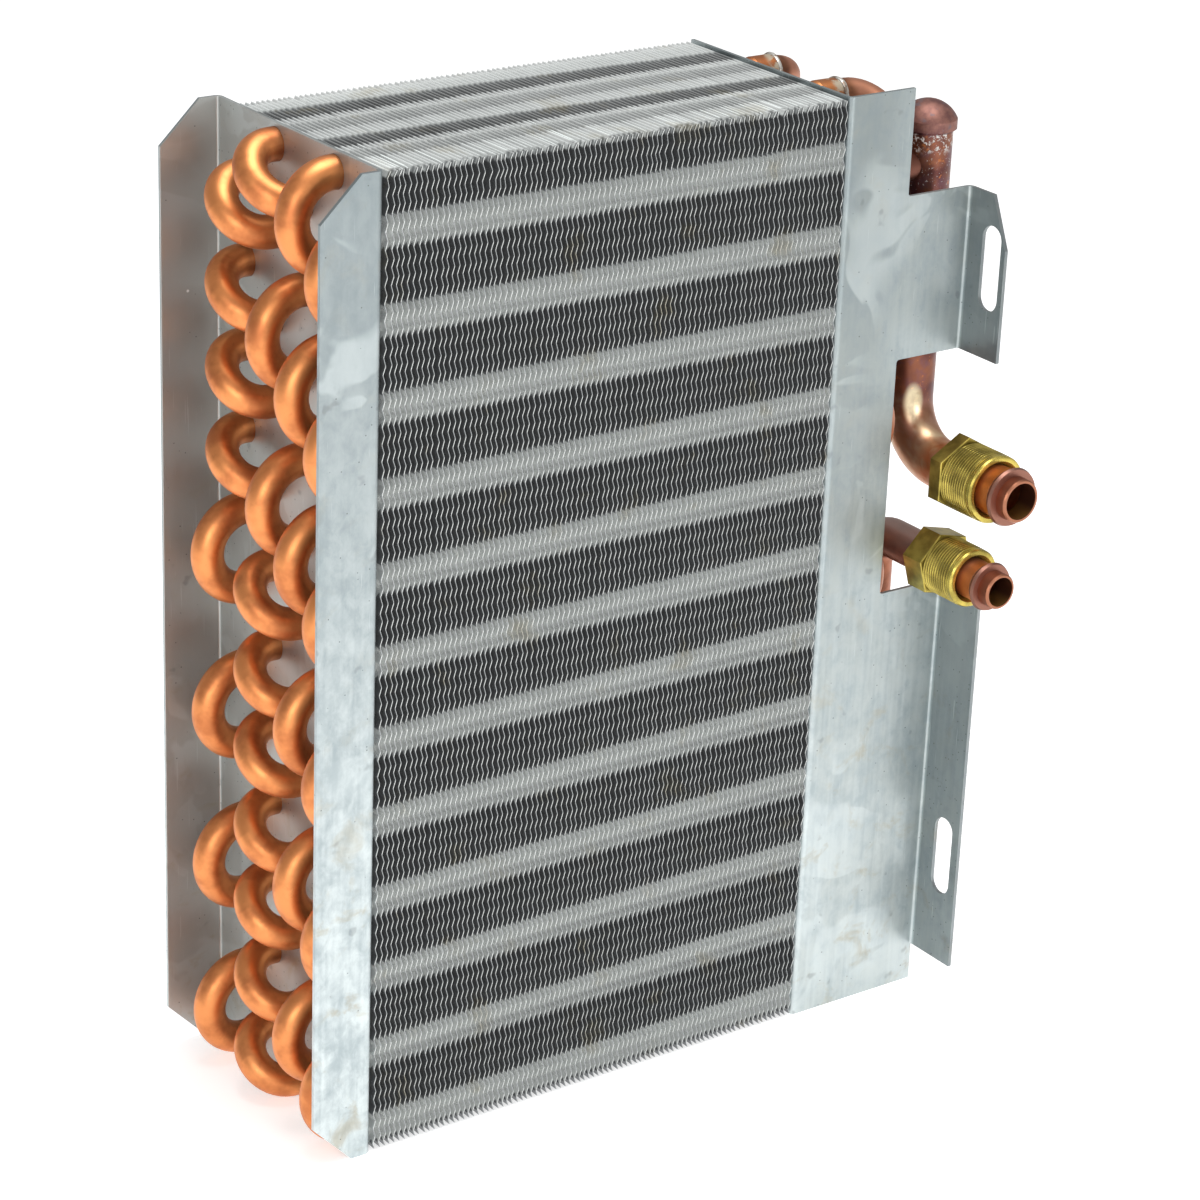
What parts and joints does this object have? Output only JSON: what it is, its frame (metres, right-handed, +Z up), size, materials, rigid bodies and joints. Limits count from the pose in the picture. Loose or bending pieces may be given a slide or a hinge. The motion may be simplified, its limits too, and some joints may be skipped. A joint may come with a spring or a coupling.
{
  "type": "evaporator core",
  "caption": "Finned-tube evaporator core: staggered copper tubes through wavy plate fins between folded end plates, with two side lines ending in captive nuts.",
  "frame": {"origin": "bottom centre of the whole core's bounding box", "axes": "+X from the hairpin side to the line side, +Y from the face with the fittings to the back, +Z up along the fins"},
  "size_m": [0.243, 0.1258, 0.305],
  "materials": {
    "galvanised_steel": "zinc-coated sheet, dull",
    "fin_aluminium": "bare thin strip, slightly dirty",
    "tube_copper": "copper, bright on the bends with heat tint at the joints",
    "aged_copper": "copper, darkened by brazing heat",
    "line_copper": "copper, dull",
    "brass": "turned brass"
  },
  "bodies": {
    "core": {"fin_pack": "fin_aluminium", "hairpin_row_1_tubes_11_12": "tube_copper", "hairpin_row_1_tubes_1_2": "tube_copper", "hairpin_row_1_tubes_3_4": "tube_copper", "hairpin_row_1_tubes_5_6": "tube_copper", "hairpin_row_1_tubes_7_8": "tube_copper", "hairpin_row_1_tubes_9_10": "tube_copper", "hairpin_row_2_tubes_11_12": "tube_copper", "hairpin_row_2_tubes_1_2": "tube_copper", "hairpin_row_2_tubes_3_4": "tube_copper", "hairpin_row_2_tubes_5_6": "tube_copper", "hairpin_row_2_tubes_7_8": "tube_copper", "hairpin_row_2_tubes_9_10": "tube_copper", "hairpin_row_3_tubes_2_3": "tube_copper", "hairpin_row_3_tubes_4_5": "tube_copper", "hairpin_row_5_tubes_11_12": "tube_copper", "hairpin_row_5_tubes_5_6": "tube_copper", "hairpin_row_5_tubes_7_8": "tube_copper", "hairpin_row_5_tubes_9_10": "tube_copper", "hairpin_rows_3_4_tubes_10_10": "tube_copper", "hairpin_rows_3_4_tubes_11_11": "tube_copper", "hairpin_rows_3_4_tubes_12_12": "tube_copper", "hairpin_rows_3_4_tubes_1_1": "tube_copper", "hairpin_rows_3_4_tubes_6_6": "tube_copper", "hairpin_rows_3_4_tubes_7_7": "tube_copper", "hairpin_rows_3_4_tubes_8_8": "tube_copper", "hairpin_rows_3_4_tubes_9_9": "tube_copper", "hairpin_rows_4_5_tubes_2_1": "tube_copper", "hairpin_rows_4_5_tubes_3_2": "tube_copper", "hairpin_rows_4_5_tubes_4_3": "tube_copper", "hairpin_rows_4_5_tubes_5_4": "tube_copper", "inlet_stub_lower": "tube_copper", "inlet_stub_middle": "tube_copper", "inlet_stub_upper": "tube_copper", "left_end_plate": "galvanised_steel", "liquid_line": "line_copper", "liquid_line_cap": "line_copper", "outlet_stub_lower": "tube_copper", "outlet_stub_middle": "tube_copper", "outlet_stub_upper": "tube_copper", "return_bends_row_1": "tube_copper", "return_bends_row_2": "tube_copper", "return_bends_row_3": "tube_copper", "return_bends_rows_1_2": "tube_copper", "return_bends_rows_2_3": "tube_copper", "return_bends_rows_4_5_lower": "tube_copper", "return_bends_rows_4_5_upper": "tube_copper", "right_end_plate": "galvanised_steel", "suction_header": "aged_copper", "suction_header_cap": "aged_copper"},
    "suction_nut": {"suction_nut": "brass"},
    "liquid_nut": {"liquid_nut": "brass"}
  },
  "joints": [
    {"name": "suction_nut_turn", "type": "hinge", "parent": "core", "child": "suction_nut", "pos_m": [0.1104, -0.037, 0.1794], "axis": [0, -1, 0], "continuous": true},
    {"name": "liquid_nut_turn", "type": "hinge", "parent": "core", "child": "liquid_nut", "pos_m": [0.1006, -0.04, 0.1532], "axis": [0, -1, 0], "continuous": true}
  ]
}
